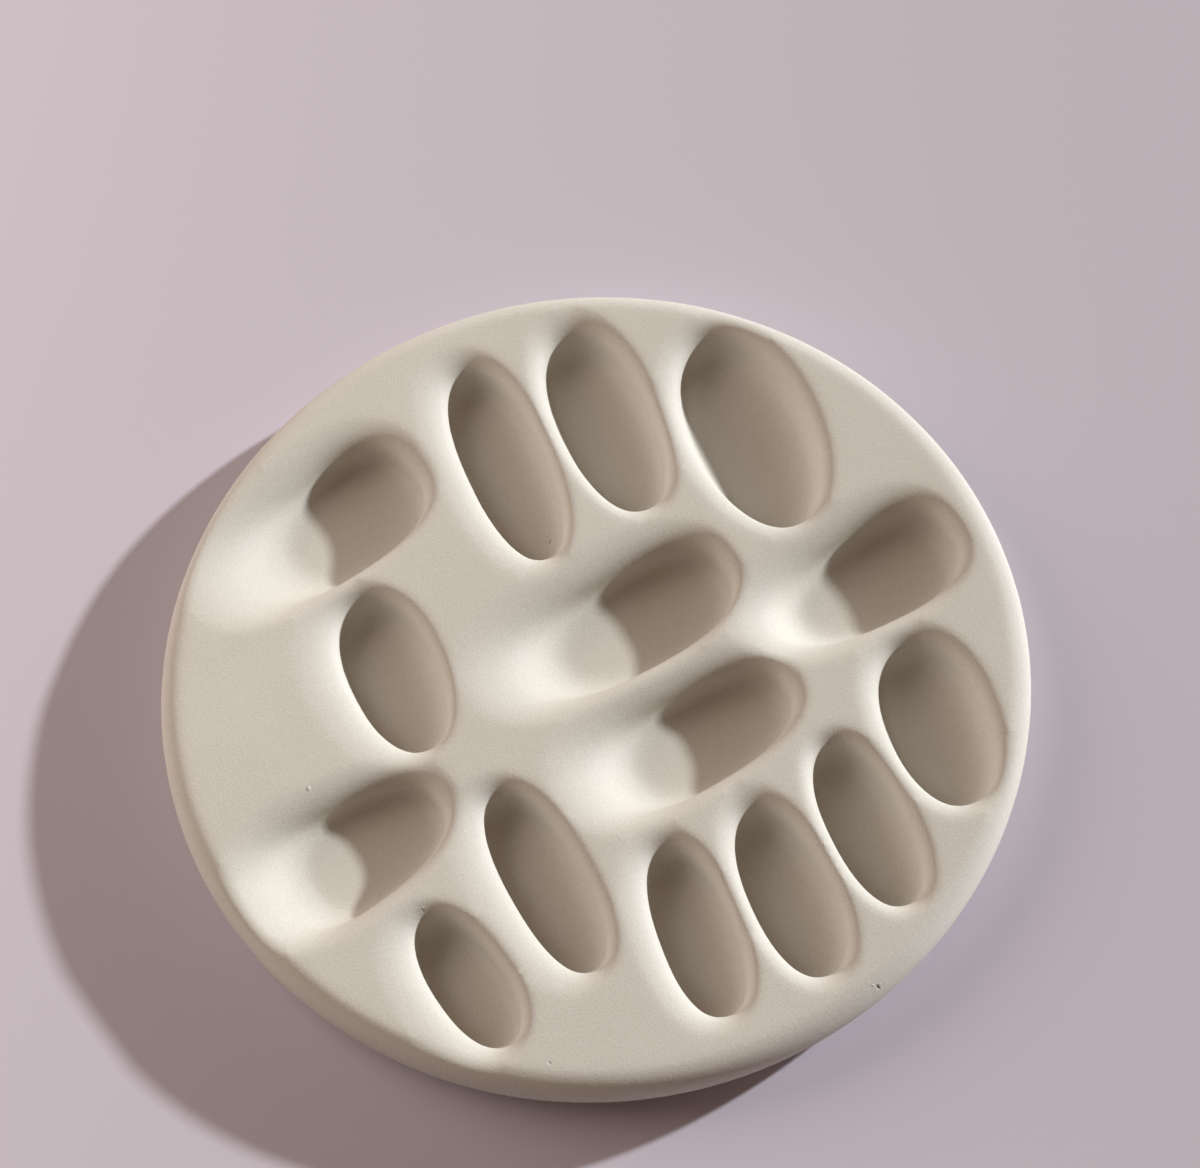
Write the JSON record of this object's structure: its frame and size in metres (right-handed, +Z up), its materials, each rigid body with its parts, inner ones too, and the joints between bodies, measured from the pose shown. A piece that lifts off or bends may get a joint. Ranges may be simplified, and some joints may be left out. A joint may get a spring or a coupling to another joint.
{
  "type": "serving tray",
  "caption": "Round cast serving tray with closed oval wells and open ramped scoops in its top, a softly rounded rim and stick-on foot pads under a flat base.",
  "frame": {"origin": "centre of the tray, on the surface that it stands on", "axes": "+Z up; the picture looks along +Y from in front and above, with +X to the right"},
  "size_m": [0.3, 0.3, 0.022],
  "materials": {
    "cast_body": "matte, unglazed, very fine sandy grain",
    "pad": "matte"
  },
  "bodies": {
    "root": {"tray_body": "cast_body", "foot_pad_1": "pad", "foot_pad_2": "pad", "foot_pad_3": "pad", "foot_pad_4": "pad"}
  },
  "joints": []
}
